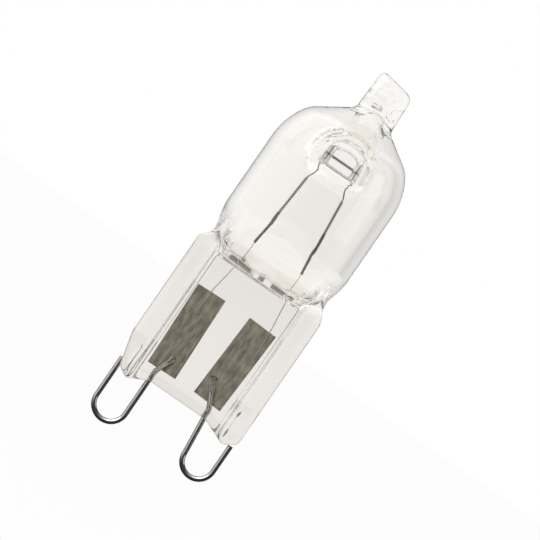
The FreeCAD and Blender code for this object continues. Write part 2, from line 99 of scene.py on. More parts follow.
def wire_tree():
    """Geometry nodes that sweep a path to a wire, wound where it is a coil and flat where it is pressed."""
    tree = bpy.data.node_groups.new("wire_along_path", "GeometryNodeTree")
    face = tree.interface
    face.new_socket("Path", in_out="INPUT", socket_type="NodeSocketGeometry")
    spacing = face.new_socket("Spacing", in_out="INPUT", socket_type="NodeSocketFloat")
    sides = face.new_socket("Sides", in_out="INPUT", socket_type="NodeSocketInt")
    finish = face.new_socket("Finish", in_out="INPUT", socket_type="NodeSocketMaterial")
    face.new_socket("Wire", in_out="OUTPUT", socket_type="NodeSocketGeometry")
    node = tree.nodes.new
    link = tree.links.new
    entry = node("NodeGroupInput")
    done = node("NodeGroupOutput")

    def point_value(name):
        read = node("GeometryNodeInputNamedAttribute")
        read.data_type = "FLOAT"
        read.inputs["Name"].default_value = name
        return read.outputs["Attribute"]

    def vectors(operation, a, b):
        step = node("ShaderNodeVectorMath")
        step.operation = operation
        link(a, step.inputs[0])
        link(b, step.inputs["Scale" if operation == "SCALE" else 1])
        return step.outputs[0]

    to_curve = node("GeometryNodeMeshToCurve")
    resample = node("GeometryNodeResampleCurve")
    resample.mode = "LENGTH"
    link(entry.outputs["Path"], to_curve.inputs["Mesh"])
    link(to_curve.outputs["Curve"], resample.inputs["Curve"])
    link(entry.outputs["Spacing"], resample.inputs["Length"])

    normal = node("GeometryNodeInputNormal").outputs["Normal"]
    tangent = node("GeometryNodeInputTangent").outputs["Tangent"]
    across = vectors("CROSS_PRODUCT", tangent, normal)
    turn = point_value("turn")
    swing = point_value("swing")
    out = vectors("SCALE", normal, maths(tree, "MULTIPLY", swing, maths(tree, "COSINE", turn)))
    over = vectors("SCALE", across, maths(tree, "MULTIPLY", swing, maths(tree, "SINE", turn)))
    wind = node("GeometryNodeSetPosition")
    link(resample.outputs["Curve"], wind.inputs["Geometry"])
    link(vectors("ADD", out, over), wind.inputs["Offset"])

    ring = node("GeometryNodeCurvePrimitiveCircle")
    ring.inputs["Radius"].default_value = 1.0
    link(entry.outputs["Sides"], ring.inputs["Resolution"])
    sweep = node("GeometryNodeCurveToMesh")
    sweep.inputs["Fill Caps"].default_value = True
    link(wind.outputs["Geometry"], sweep.inputs["Curve"])
    link(point_value("thickness"), sweep.inputs["Scale"])
    link(ring.outputs["Curve"], sweep.inputs["Profile Curve"])

    place = node("ShaderNodeSeparateXYZ")
    link(node("GeometryNodeInputPosition").outputs["Position"], place.inputs[0])
    level = point_value("level")
    depth = maths(tree, "SUBTRACT", place.outputs["Y"], level)
    squeezed = maths(tree, "ADD", level, maths(tree, "MULTIPLY", depth, point_value("flat")))
    pressed = node("ShaderNodeCombineXYZ")
    link(place.outputs["X"], pressed.inputs["X"])
    link(squeezed, pressed.inputs["Y"])
    link(place.outputs["Z"], pressed.inputs["Z"])
    press = node("GeometryNodeSetPosition")
    link(sweep.outputs["Mesh"], press.inputs["Geometry"])
    link(pressed.outputs["Vector"], press.inputs["Position"])

    smooth = node("GeometryNodeSetShadeSmooth")
    link(press.outputs["Geometry"], smooth.inputs["Geometry"])
    realize = node("GeometryNodeRealizeInstances")
    link(smooth.outputs["Geometry"], realize.inputs["Geometry"])
    paint = node("GeometryNodeSetMaterial")
    link(realize.outputs["Geometry"], paint.inputs["Geometry"])
    link(entry.outputs["Finish"], paint.inputs["Material"])
    link(paint.outputs["Geometry"], done.inputs["Wire"])
    return tree, spacing.identifier, sides.identifier, finish.identifier


wire_nodes, SPACING, SIDES, FINISH = wire_tree()


def wire(name, path, spacing, sides, material, thickness, swing=0.0, turn=0.0, level=0.0, flat=1.0):
    """Wire object along a path in millimetres.

    Thickness, swing, turn, level and flat are each one value for every point of the path, or one for all.
    """
    mesh = bpy.data.meshes.new(name + "_path")
    edges = [(i, i + 1) for i in range(len(path) - 1)]
    mesh.from_pydata((np.asarray(path) * MM).tolist(), edges, [])
    point_values = [
        ("thickness", thickness, MM),
        ("swing", swing, MM),
        ("level", level, MM),
        ("turn", turn, 1.0),
        ("flat", flat, 1.0),
    ]
    for key, value, unit in point_values:
        layer = mesh.attributes.new(key, "FLOAT", "POINT")
        spread = np.broadcast_to(np.asarray(value, float), (len(path),))
        layer.data.foreach_set("value", spread * unit)
    piece = bpy.data.objects.new(name, mesh)
    bpy.context.collection.objects.link(piece)
    modifier = piece.modifiers.new("wire", "NODES")
    modifier.node_group = wire_nodes
    modifier[SPACING] = spacing * MM
    modifier[SIDES] = sides
    modifier[FINISH] = material
    bpy.context.view_layer.update()
    seen = piece.evaluated_get(bpy.context.evaluated_depsgraph_get())
    made = bpy.data.meshes.new_from_object(seen)
    piece.modifiers.clear()
    made.name = name
    piece.data = made
    return piece


def new_material(name):
    """Material with nodes, and its shader."""
    material = bpy.data.materials.new(name)
    material.use_nodes = True
    return material, material.node_tree.nodes["Principled BSDF"]


base_wire, shader = new_material("bright_base_wire")
shader.inputs["Base Color"].default_value = (0.52, 0.51, 0.48, 1)
shader.inputs["Metallic"].default_value = 1.0
shader.inputs["Roughness"].default_value = 0.2

loop_runs = {}
for hand, sizes in LOOPS.items():
    line = loop_line(**sizes)
    along = np.linalg.norm(line - line[0], axis=1)
    round_share = np.clip(along / WELD_RUN, 0, 1)
    round_share = round_share * round_share * (3 - 2 * round_share)
    round_share[len(line) // 3:] = 1
    level = WELD_Y + (WIRE_Y - WELD_Y) * round_share
    path = np.stack([line[:, 0], level, line[:, 1]], axis=1)
    width = WELD_HALF_WIDTH + (WIRE_RADIUS - WELD_HALF_WIDTH) * round_share
    flat = WELD_FLAT + (1 - WELD_FLAT) * round_share
    loop = wire("loop_" + hand, path, LOOP_SPACING, LOOP_SIDES, base_wire, width, level=level, flat=flat)
    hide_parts("contact_loop_" + hand)
    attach(loop, "root")
    loop_runs[hand] = (line, level, flat)


# Foils.
# Molybdenum foil a few hundredths of a millimetre thick, etched thin along its long edges, with the mottled
# grey-brown bloom it takes when the quartz is pressed round it. The right one keeps the ring of a first weld.

FOIL_DARK = (0.15, 0.138, 0.11, 1)
FOIL_LIGHT = (0.38, 0.355, 0.29, 1)
FOIL_WORN = (0.045, 0.04, 0.03, 1)
RING_CENTRE = (1.62, 3.57)
RING_RADIUS = 0.25
RING_HALF_WIDTH = 0.07
RING_SQUASH = 1.7


def eased(tree, value, low, high, start=0.0, end=1.0):
    """Socket that eases from start to end while a value goes from low to high."""
    ease = tree.nodes.new("ShaderNodeMapRange")
    ease.interpolation_type = "SMOOTHSTEP"
    ease.inputs["From Min"].default_value = low
    ease.inputs["From Max"].default_value = high
    ease.inputs["To Min"].default_value = start
    ease.inputs["To Max"].default_value = end
    tree.links.new(value, ease.inputs["Value"])
    return ease.outputs["Result"]


foil_finish, shader = new_material("mottled_foil")
shader.inputs["Metallic"].default_value = 0.35
shader.inputs["Roughness"].default_value = 0.55
tree = foil_finish.node_tree
link = tree.links.new
spot = tree.nodes.new("ShaderNodeTexCoord")

grain = tree.nodes.new("ShaderNodeVectorMath")
grain.operation = "MULTIPLY"
grain.inputs[1].default_value = (1, 1, 0.35)
bloom = tree.nodes.new("ShaderNodeTexNoise")
bloom.inputs["Scale"].default_value = 2600
bloom.inputs["Detail"].default_value = 8
ramp = tree.nodes.new("ShaderNodeValToRGB")
for stop, place, colour in zip(ramp.color_ramp.elements, (0.3, 0.7), (FOIL_DARK, FOIL_LIGHT)):
    stop.position = place
    stop.color = colour
link(spot.outputs["Object"], grain.inputs[0])
link(grain.outputs["Vector"], bloom.inputs["Vector"])
link(bloom.outputs["Fac"], ramp.inputs["Fac"])

side = tree.nodes.new("ShaderNodeSeparateXYZ")
link(spot.outputs["Generated"], side.inputs[0])
off_middle = maths(tree, "ABSOLUTE", maths(tree, "SUBTRACT", side.outputs["X"], 0.5))
edge = eased(tree, off_middle, 0.4, 0.5, end=0.45)
away = tree.nodes.new("ShaderNodeVectorMath")
away.operation = "MULTIPLY_ADD"
away.inputs[1].default_value = (1, 0, RING_SQUASH)
away.inputs[2].default_value = (-RING_CENTRE[0] * MM, 0, -RING_CENTRE[1] * RING_SQUASH * MM)
reach = tree.nodes.new("ShaderNodeVectorMath")
reach.operation = "LENGTH"
link(spot.outputs["Object"], away.inputs[0])
link(away.outputs["Vector"], reach.inputs[0])
ring = maths(tree, "COMPARE", reach.outputs["Value"], RING_RADIUS * MM, RING_HALF_WIDTH * MM)

shade = tree.nodes.new("ShaderNodeMix")
shade.data_type = "RGBA"
shade.inputs["B"].default_value = FOIL_WORN
link(maths(tree, "MAXIMUM", edge, ring), shade.inputs["Factor"])
link(ramp.outputs["Color"], shade.inputs["A"])
link(shade.outputs["Result"], shader.inputs["Base Color"])
for hand in ("left", "right"):
    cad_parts["foil_" + hand].material_slots[0].material = foil_finish


# Inner leads.
# Fine molybdenum wire between foil and filament, dull from the heat of the sealing flame.

lead_wire, shader = new_material("dull_lead_wire")
shader.inputs["Base Color"].default_value = (0.6, 0.57, 0.51, 1)
shader.inputs["Metallic"].default_value = 1.0
shader.inputs["Roughness"].default_value = 0.28
for hand in ("left", "right"):
    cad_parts["inner_lead_" + hand].material_slots[0].material = lead_wire


# Filament.
# One coiled tungsten wire. Its legs are wound tight round the ends of the leads and open above them, pulled
# straight beside the dimples, and wound again where the two dimples clamp its middle.

COIL_SWING = 0.11
COIL_WIRE = 0.046
STRAND_WIRE = 0.062
COIL_SPACING = 0.0085
COIL_SIDES = 6
FILAMENT_Y = -0.055
TIGHT_PITCH = 0.085
OPEN_PITCH = 0.18
CLAMP_Z = 26.4

# (x, z, swing, pitch of the turns to the next point); a pitch of nothing is straight wire
FILAMENT_STOPS = [
    (-2.47, 15.9, COIL_SWING, TIGHT_PITCH),
    (-2.1, 19.45, COIL_SWING, OPEN_PITCH),
    (-1.82, 23.5, COIL_SWING, 0),
    (-1.8, 23.62, 0.0, 0),
    (-1.42, 24.4, 0.0, 0),
    (-1.36, 26.1, 0.0, 0),
    (-1.15, CLAMP_Z, 0.0, 0),
    (-1.03, CLAMP_Z, COIL_SWING, OPEN_PITCH),
    (1.27, CLAMP_Z, COIL_SWING, 0),
    (1.4, CLAMP_Z, 0.0, 0),
    (1.63, 26.1, 0.0, 0),
    (1.7, 24.4, 0.0, 0),
    (2.06, 23.66, 0.0, 0),
    (2.08, 23.5, COIL_SWING, OPEN_PITCH),
    (2.42, 20.1, COIL_SWING, TIGHT_PITCH),
    (2.85, 15.9, COIL_SWING, 0),
]

tungsten, shader = new_material("dark_tungsten")
shader.inputs["Base Color"].default_value = (0.19, 0.172, 0.138, 1)
shader.inputs["Metallic"].default_value = 0.7
shader.inputs["Roughness"].default_value = 0.45

coil_path = [(x, FILAMENT_Y, z) for x, z, _, _ in FILAMENT_STOPS]
coil_swing = [swing for _, _, swing, _ in FILAMENT_STOPS]
coil_wire = [COIL_WIRE if swing else STRAND_WIRE for swing in coil_swing]
coil_turn = [0.0]
for here, after in zip(FILAMENT_STOPS, FILAMENT_STOPS[1:]):
    length = math.hypot(after[0] - here[0], after[1] - here[1])
    turns = length / here[3] if here[3] else 0
    coil_turn.append(coil_turn[-1] + 2 * math.pi * turns)
filament = wire("filament_coil", coil_path, COIL_SPACING, COIL_SIDES, tungsten, coil_wire,
                swing=coil_swing, turn=coil_turn, level=FILAMENT_Y)
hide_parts("filament")
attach(filament, "root")


# Quartz envelope.
# One tube of clear fused quartz: blown bulb, pinched exhaust tip, two pressed dimples that clamp the
# filament, and a flat press seal with thick side ribs. It is fire polished, so every edge is soft.
# Its skin is where a field of distances is zero, which keeps melted blends and hollows in one surface.

BULB_RADIUS = 6.66
WALL = 1.0
FOOT_Z = 17.9
DOME_Z = 24.95
DOME_SIDE_ANGLE = math.radians(32)
DOME_CORNER_RADIUS = 2.9
DOME_CONE_NORMAL = math.radians(57)
SHOULDER_RADIUS = 7.6
SHOULDER_Y = 0.562
SHOULDER_Z = 20.366
SHOULDER_BLEND = 0.3
SHOULDER_LIFT = 0.2

WEB_HALF = 1.1
RIB_HALF = 2.4
RIB_ROOTS = ((-4.73, 1), (4.6, -1))
RIB_FLANK_SLOPE = 0.25
RIB_EDGE_BLEND = 0.4
RIB_ROOT_BLEND = 0.3
RIB_SWELL_Z = 12.4
RIB_SWELL = 0.1
RIB_SWELL_EASE = 0.3
PRESS_RIM_BLEND = 0.8
NECK_RIM_BLEND = 0.3
NECK_Z = 12.8
WEB_NECK_BLEND = 0.3
RIB_NECK_BLEND = 0.9
RIB_NECK_X = 4.3
TOE_HOLLOWS_X = (-6.13, 6.0)
TOE_HOLLOW_Z = 2.0
TOE_HOLLOW_RADIUS = 0.55
TOE_HOLLOW_DEPTH = 0.14
TOE_HOLLOW_BLEND = 0.5

TIP_TAPER_Z = 28.0
TIP_LEFT = 1.93
TIP_LEFT_TAPER = 0.038
TIP_RIGHT = 2.28
TIP_RIGHT_TAPER = 0.034
TIP_TOP_Z = 35.26
TIP_TOP_X = -0.02
TIP_TOP_SLOPE = 0.19
TIP_TOP_SCALE = 0.98
TIP_TOP_BLEND = 0.75
TIP_SIDE_BLEND = 0.3
TIP_HALF = 1.5
TIP_FACE_TAPER = 0.045
TIP_FACE_BLEND = 0.9
CREASE_X = 1.55
CREASE_Z = 32.75
CREASE_RADIUS = 0.6
CREASE_DEPTH = 0.26
CREASE_END_X = 1.75
CREASE_BLEND = 0.06
TIP_FOOT_BLEND = 0.4
TIP_FOOT_RUNOUT = 0.6
BUBBLE_CENTRE = (-0.17, 0.0, 32.38)
BUBBLE_HALVES = (0.66, 0.45, 0.4)

# The sides of a dimple move out by the draft from floor to mouth, and by the flare where the rim melts back
DIMPLE_X = 0.12
DIMPLE_FLOOR_Y = 0.55
DIMPLE_DRAFT = {"sides": 0.25, "foot": 0.1, "roof": 0.8, "arch": 0.5}
DIMPLE_FLARE = {"sides": 1.7, "foot": 0.5, "roof": 0.3, "arch": 1.4}
DIMPLE_HALF = 1.3
DIMPLE_FOOT_Z = 25.5
DIMPLE_ROOF_Z = 25.15
DIMPLE_ROOF_RADIUS = 2.45
DIMPLE_ARCH_Z = 26.55
DIMPLE_ARCH_RADIUS = 1.7
DIMPLE_BLEND = 0.2
DIMPLE_FLOOR_BLEND = 0.12
DIMPLE_WALL = 0.38
ROOF_GLASS = 0.45
ROOF_GLASS_Y = 2.6
ROOF_GLASS_RUN = 2.0
ROOF_GLASS_Z = 27.3
MOUTH_Y = 3.4
MOUTH_RUN = 3.0
RIM_BLEND = 0.15
RIM_MELT = 0.7
RIM_MELT_Y = 3.5
RIM_MELT_RUN = 2.0
INNER_RIM_BLEND = 0.2
INNER_RIM_MELT = 0.6
INNER_RIM_MELT_Y = 3.0
INNER_RIM_MELT_RUN = 2.5
FOLD_X = -0.1
FOLD_Z = 26.2
FOLD_RADIUS = 2.75
FOLD_DEPTH = 0.28
FOLD_LOW_Z = 26.0
FOLD_END_X = -1.5
FOLD_BLEND = 0.08

GAS_TOP_Z = 31.85
GAS_TOP_BLEND = 0.9
KEEL_HALF_WIDTH = 4.5
KEEL_SAG = 0.26
KEEL_LIFT = 0.04
KEEL_BLEND = 0.4
KEEL_WAVES = ((0.03, 2.1, 0.7), (0.01, 4.7, 0.0))
KEEL_WAVE_Z = 15.2
FOOT_BLEND = 0.5
GAS_EDGE_BLEND = 0.15
CAPILLARY_RADIUS = 0.29
CAPILLARY_TOP = 1.3
CAPILLARY_MOUTH = 0.05
BORE_SPACING = 0.15
BORE_SIDES = 24

NET_STEP = 0.25
FINE_STEP = 0.115
NET_X = (-7.6, 7.6, [(-5.3, -4.4), (-2.3, 2.6), (4.3, 5.3)])
NET_Y = (-7.3, 7.4, [(-1.6, 1.3)])
NET_Z = (-1.7, 36.3, [(12.9, 16.4), (24.9, 28.9), (30.6, 33.6)])

# (x, z, corner radius) round the press seal, from its heel by the left loop
PRESS_OUTLINE = [
    (-3.18, 0.0, 0.8),
    (-5.13, -1.0, 0.5),
    (-6.2, -0.25, 0.4),
    (-6.98, 2.9, 2.5),
    (-6.98, 13.65, 0.9),
    (-5.9, 14.75, 1.2),
    (-4.7, 17.4, 0.0),
    (4.7, 17.4, 0.0),
    (6.0, 14.75, 1.4),
    (6.85, 13.1, 1.6),
    (6.85, -0.25, 0.8),
    (5.55, -1.0, 0.5),
    (3.05, 0.0, 0.8),
]


def rounded_outline(corners, steps=14):
    """Closed outline as points, each corner rounded by a tangent arc."""
    points = []
    places = [np.array(c[:2]) for c in corners]
    for i, (_, _, radius) in enumerate(corners):
        here = places[i]
        if radius == 0:
            points.append(here)
            continue
        back = places[i - 1] - here
        ahead = places[(i + 1) % len(places)] - here
        back = back / np.linalg.norm(back)
        ahead = ahead / np.linalg.norm(ahead)
        half = math.acos(float(np.clip(back @ ahead, -1, 1))) / 2
        middle = back + ahead
        centre = here + middle / np.linalg.norm(middle) * radius / math.sin(half)
        first = here + back * radius / math.tan(half) - centre
        last = here + ahead * radius / math.tan(half) - centre
        for t in np.linspace(0, 1, steps):
            chord = first * (1 - t) + last * t
            points.append(centre + chord / np.linalg.norm(chord) * radius)
    return np.array(points)


def outline_field(points, low, high, step=0.04):
    """Signed distance to a closed outline, worked out on a grid and read back between its points."""
    us = np.arange(low[0], high[0], step)
    vs = np.arange(low[1], high[1], step)
    u, v = np.meshgrid(us, vs, indexing="ij")
    nearest = np.full(u.shape, 1e9)
    inside = np.zeros(u.shape, bool)
    for a, b in zip(points, np.roll(points, -1, axis=0)):
        run = b - a
        t = np.clip(((u - a[0]) * run[0] + (v - a[1]) * run[1]) / (run @ run), 0, 1)
        nearest = np.minimum(nearest, (u - a[0] - t * run[0]) ** 2 + (v - a[1] - t * run[1]) ** 2)
        if a[1] != b[1]:
            crossed = (a[1] > v) != (b[1] > v)
            inside ^= crossed & (u < run[0] * (v - a[1]) / run[1] + a[0])
    table = np.sqrt(nearest) * np.where(inside, -1, 1)

    def field(x, z):
        i = np.clip((x - low[0]) / step, 0, len(us) - 1.001)
        j = np.clip((z - low[1]) / step, 0, len(vs) - 1.001)
        i0 = i.astype(int)
        j0 = j.astype(int)
        s = i - i0
        t = j - j0
        near = table[i0, j0] * (1 - s) + table[i0 + 1, j0] * s
        far = table[i0, j0 + 1] * (1 - s) + table[i0 + 1, j0 + 1] * s
        return near * (1 - t) + far * t

    return field


press_outline = outline_field(rounded_outline(PRESS_OUTLINE), (-9, -4), (9, 21))


def soft_max(a, b, blend):
    """Greater of two distances, with the corner between them rounded off."""
    h = np.clip(0.5 + 0.5 * (a - b) / blend, 0, 1)
    return b * (1 - h) + a * h + blend * h * (1 - h)


def soft_min(a, b, blend):
    """Lesser of two distances, with the corner between them filled in."""
    return -soft_max(-a, -b, blend)


def share(value, low, run):
    """How far a value is along a run, from 0 to 1."""
    return np.clip((value - low) / run, 0, 1)


def bulb_field(x, y, z):
    """Distance to the blown bulb: round foot, wall, round shoulder and cone."""
    r = np.hypot(x, y)
    rise = z - DOME_Z
    inner = BULB_RADIUS - DOME_CORNER_RADIUS
    corner_r = inner * math.cos(DOME_SIDE_ANGLE)
    corner_z = inner * math.sin(DOME_SIDE_ANGLE)
    out = r - corner_r
    up = rise - corner_z
    cone = out * math.cos(DOME_CONE_NORMAL) + up * math.sin(DOME_CONE_NORMAL) - DOME_CORNER_RADIUS
    corner = np.hypot(out, up) - DOME_CORNER_RADIUS
    dome = np.where((out < 0) | (np.arctan2(up, out) > DOME_CONE_NORMAL), cone, corner)
    dome = np.where(np.arctan2(rise, r) < DOME_SIDE_ANGLE, np.hypot(r, rise) - BULB_RADIUS, dome)
    body = np.where(z > DOME_Z, dome, r - BULB_RADIUS)
    return np.where(z < FOOT_Z, np.hypot(r, z - FOOT_Z) - BULB_RADIUS, body)


def shoulder_field(y, z):
    """Distance to the rounded shoulders that bring the bulb's foot down to the web."""
    drop = np.minimum(z - SHOULDER_Z, 0)
    front = np.hypot(y - SHOULDER_Y, drop) - SHOULDER_RADIUS
    back = np.hypot(y + SHOULDER_Y, drop) - SHOULDER_RADIUS
    return soft_max(front, back, SHOULDER_BLEND)


def press_field(x, y, z):
    """Distance to the press seal: outline, web and ribs, with the hollows on the ribs' toes."""
    side = np.abs(y)
    lean = math.hypot(1, RIB_FLANK_SLOPE)
    rise = np.maximum(z - RIB_SWELL_Z, 0)
    rib_half = RIB_HALF + RIB_SWELL * rise ** 2 / (1 + RIB_SWELL_EASE * rise)
    section = side - WEB_HALF
    for root, way in RIB_ROOTS:
        flank = ((x - root) * way + (side - WEB_HALF) * RIB_FLANK_SLOPE) / lean
        rib = soft_max(side - rib_half, flank, RIB_EDGE_BLEND)
        section = soft_min(section, rib, RIB_ROOT_BLEND)
    rim = PRESS_RIM_BLEND - (PRESS_RIM_BLEND - NECK_RIM_BLEND) * share(z, NECK_Z, 1)
    press = soft_max(press_outline(x, z), section, rim)
    for middle in TOE_HOLLOWS_X:
        hollow = np.hypot(x - middle, np.maximum(z - TOE_HOLLOW_Z, 0)) - TOE_HOLLOW_RADIUS
        hollow = np.maximum(hollow, RIB_HALF - TOE_HOLLOW_DEPTH - side)
        press = soft_max(press, -hollow, TOE_HOLLOW_BLEND)
    return press


def tip_field(x, y, z):
    """Distance to the pinched stub of the pump tube, with the crease that the jaws left."""
    rise = z - TIP_TAPER_Z
    left = -x - TIP_LEFT + rise * TIP_LEFT_TAPER
    right = x - TIP_RIGHT + rise * TIP_RIGHT_TAPER
    top = (z - TIP_TOP_Z + (x - TIP_TOP_X) * TIP_TOP_SLOPE) * TIP_TOP_SCALE
    flat = np.abs(y) - TIP_HALF + rise * TIP_FACE_TAPER
    tip = soft_max(soft_max(left, right, TIP_SIDE_BLEND), top, TIP_TOP_BLEND)
    tip = soft_max(tip, flat, TIP_FACE_BLEND)
    ring = np.hypot(x - CREASE_X, z - CREASE_Z) - CREASE_RADIUS
    crease = np.hypot(ring, flat) - CREASE_DEPTH
    crease = np.maximum(np.maximum(crease, y), x - CREASE_END_X)
    return soft_max(tip, -crease, CREASE_BLEND)


def blown_field(x, y, z):
    """Distance to the bulb with its tip, the tip's faces running out into the dome."""
    facing = y ** 2 / (x ** 2 + y ** 2 + 0.1)
    stub = np.maximum(tip_field(x, y, z), TIP_TAPER_Z - z)
    return soft_min(bulb_field(x, y, z), stub, TIP_FOOT_BLEND + TIP_FOOT_RUNOUT * facing)


def pocket_field(x, y, z):
    """Distance to the sides of the two dimples: flat foot and round arch, wider towards the mouth."""
    deep = (np.abs(y) - DIMPLE_FLOOR_Y) / (BULB_RADIUS - DIMPLE_FLOOR_Y)
    flare = np.clip((np.abs(y) - MOUTH_Y) / MOUTH_RUN, 0, 1.2) ** 2
    spread = {side: DIMPLE_DRAFT[side] * deep + DIMPLE_FLARE[side] * flare for side in DIMPLE_DRAFT}
    sides = np.abs(x - DIMPLE_X) - DIMPLE_HALF - spread["sides"]
    foot = DIMPLE_FOOT_Z - spread["foot"] - z
    roof = np.hypot(x - DIMPLE_X, z - DIMPLE_ROOF_Z - spread["roof"]) - DIMPLE_ROOF_RADIUS
    arch = np.hypot(x - DIMPLE_X, z - DIMPLE_ARCH_Z) - DIMPLE_ARCH_RADIUS - spread["arch"]
    block = soft_max(soft_max(sides, foot, DIMPLE_BLEND), roof, DIMPLE_BLEND)
    return soft_max(block, arch, DIMPLE_BLEND)


def cavity_field(x, y, z):
    """Distance to the gas space: a capsule, pressed to a sagging keel below and round the dimples."""
    wave = sum(size * np.sin(pitch * x + start) for size, pitch, start in KEEL_WAVES)
    sag = KEEL_SAG * (x / KEEL_HALF_WIDTH) ** 2 + KEEL_LIFT + wave * np.clip(KEEL_WAVE_Z - z, 0, 1)
    space = soft_max(blown_field(x, y, z), shoulder_field(y, z - sag), KEEL_BLEND) + WALL
    space = soft_max(space, z - GAS_TOP_Z, GAS_TOP_BLEND)
    over = ROOF_GLASS * share(np.abs(y), ROOF_GLASS_Y, ROOF_GLASS_RUN) * share(z, ROOF_GLASS_Z, 1)
    rim = INNER_RIM_BLEND + INNER_RIM_MELT * share(np.abs(y), INNER_RIM_MELT_Y, INNER_RIM_MELT_RUN)
    return soft_max(space, DIMPLE_WALL + over - pocket_field(x, y, z), rim)


def quartz_field(x, y, z):
    """Distance to the glass: less than zero inside it."""
    bulb = soft_max(blown_field(x, y, z), shoulder_field(y, z - SHOULDER_LIFT), FOOT_BLEND)
    neck = WEB_NECK_BLEND + (RIB_NECK_BLEND - WEB_NECK_BLEND) * share(np.abs(x), RIB_NECK_X, 1)
    glass = soft_min(bulb, press_field(x, y, z), neck)
    pocket = soft_max(pocket_field(x, y, z), DIMPLE_FLOOR_Y - np.abs(y), DIMPLE_FLOOR_BLEND)
    rim = RIM_BLEND + RIM_MELT * share(np.abs(y), RIM_MELT_Y, RIM_MELT_RUN)
    glass = soft_max(glass, -pocket, rim)
    ring = np.hypot(x - FOLD_X, z - FOLD_Z) - FOLD_RADIUS
    fold = np.hypot(ring, bulb_field(x, y, z)) - FOLD_DEPTH
    fold = np.maximum(np.maximum(fold, y), FOLD_LOW_Z - z)
    glass = soft_max(glass, -np.maximum(fold, x - FOLD_END_X), FOLD_BLEND)
    return soft_max(glass, -cavity_field(x, y, z), GAS_EDGE_BLEND)


def net_axis(low, high, fine):
    """Grid places from low to high, closer together over the fine stretches."""
    places = []
    for fine_low, fine_high in fine:
        coarse = round((fine_low - low) / NET_STEP)
        close = round((fine_high - fine_low) / FINE_STEP)
        places.append(np.linspace(low, fine_low, coarse, endpoint=False))
        places.append(np.linspace(fine_low, fine_high, close, endpoint=False))
        low = fine_high
    places.append(np.linspace(low, high, round((high - low) / NET_STEP)))
    return np.concatenate(places)


def surface_net(field, axes):
    """Points and four-sided faces of the surface where a field is zero."""
    grid = np.meshgrid(*axes, indexing="ij")
    values = field(*grid)
    shape = np.array(values.shape) - 1
    inside = values < 0
    total = np.zeros((int(np.prod(shape)), 3))
    count = np.zeros(int(np.prod(shape)))
    rings = []
    for axis in range(3):
        first = [slice(None)] * 3
        second = [slice(None)] * 3
        first[axis] = slice(None, -1)
        second[axis] = slice(1, None)
        changed = inside[tuple(first)] != inside[tuple(second)]
        start = np.argwhere(changed)
        a = values[tuple(first)][changed]
        b = values[tuple(second)][changed]
        place = np.stack([axes[k][start[:, k]] for k in range(3)], axis=1)
        place[:, axis] += a / (a - b) * np.diff(axes[axis])[start[:, axis]]
        others = [k for k in range(3) if k != axis]
        keep = np.all((start[:, others] > 0) & (start[:, others] < shape[others]), axis=1)
        start = start[keep]
        place = place[keep]
        ring = []
        for du, dv in ((0, 0), (1, 0), (1, 1), (0, 1)):
            cell = start.copy()
            cell[:, others[0]] -= du
            cell[:, others[1]] -= dv
            ids = np.ravel_multi_index(cell.T, shape)
            ring.append(ids)
            count += np.bincount(ids, minlength=len(count))
            for k in range(3):
                total[:, k] += np.bincount(ids, weights=place[:, k], minlength=len(count))
        ring = np.array(ring).T
        flip = (a[keep] > 0) if axis != 1 else (a[keep] < 0)
        ring[flip] = ring[flip][:, ::-1]
        rings.append(ring)
    used = np.flatnonzero(count)
    points = total[used] / count[used][:, None]
    number = np.full(len(count), -1)
    number[used] = np.arange(len(used))
    return points, number[np.concatenate(rings)]


def settle(field, points, rounds=3):
    """Points moved onto the surface where a field is zero."""
    small = 0.01
    for _ in range(rounds):
        x, y, z = points.T
        slope = np.stack([
            field(x + small, y, z) - field(x - small, y, z),
            field(x, y + small, z) - field(x, y - small, z),
            field(x, y, z + small) - field(x, y, z - small),
        ], axis=1) / (2 * small)
        steep = np.maximum((slope ** 2).sum(axis=1), 0.1)
        move = slope * (field(x, y, z) / steep)[:, None]
        points = points - np.clip(move, -NET_STEP / 2, NET_STEP / 2)
    return points


def bubble_mesh(centre, halves, rings=16, spokes=28):
    """Points and faces of a closed, slightly dented bubble whose faces look inwards."""
    points = [(0, 0, 1)]
    for i in range(1, rings):
        polar = math.pi * i / rings
        for j in range(spokes):
            spin = 2 * math.pi * j / spokes
            out = math.sin(polar)
            points.append((out * math.cos(spin), out * math.sin(spin), math.cos(polar)))
    points.append((0, 0, -1))
    points = np.array(points)
    dent = 1 + 0.08 * np.sin(3 * points[:, 0] + 1) * np.cos(2 * points[:, 2])
    points = points * dent[:, None] * np.array(halves) + np.array(centre)
    faces = []
    for j in range(spokes):
        k = (j + 1) % spokes
        faces.append((0, 1 + k, 1 + j))
        for i in range(rings - 2):
            a = 1 + i * spokes
            b = a + spokes
            faces.append((a + j, a + k, b + k, b + j))
        last = 1 + (rings - 2) * spokes
        faces.append((last + j, last + k, len(points) - 1))
    return points, faces


quartz, shader = new_material("clear_quartz")
shader.inputs["IOR"].default_value = 1.46
shader.inputs["Transmission Weight"].default_value = 1.0
tree = quartz.node_tree
link = tree.links.new
spot = tree.nodes.new("ShaderNodeTexCoord")
split = tree.nodes.new("ShaderNodeSeparateXYZ")
link(spot.outputs["Object"], split.inputs[0])
across = split.outputs["X"]
height = split.outputs["Z"]

# Below the neck the quartz is tinted greyer: painted shade for the grey tone the thick press takes on under
# the light, with a little of the real slight cloudiness of the pressed quartz. Above it the glass keeps a
# faint warm tint.
painted_press_shade = tree.nodes.new("ShaderNodeMix")
painted_press_shade.data_type = "RGBA"
painted_press_shade.inputs["A"].default_value = (0.88, 0.845, 0.805, 1)
painted_press_shade.inputs["B"].default_value = (0.995, 0.977, 0.953, 1)
# Painted shade: the tint eases from grey in the press to the bulb's faint warm tint over the neck
link(eased(tree, height, 0.0125, 0.0155), painted_press_shade.inputs["Factor"])
link(painted_press_shade.outputs["Result"], shader.inputs["Base Color"])

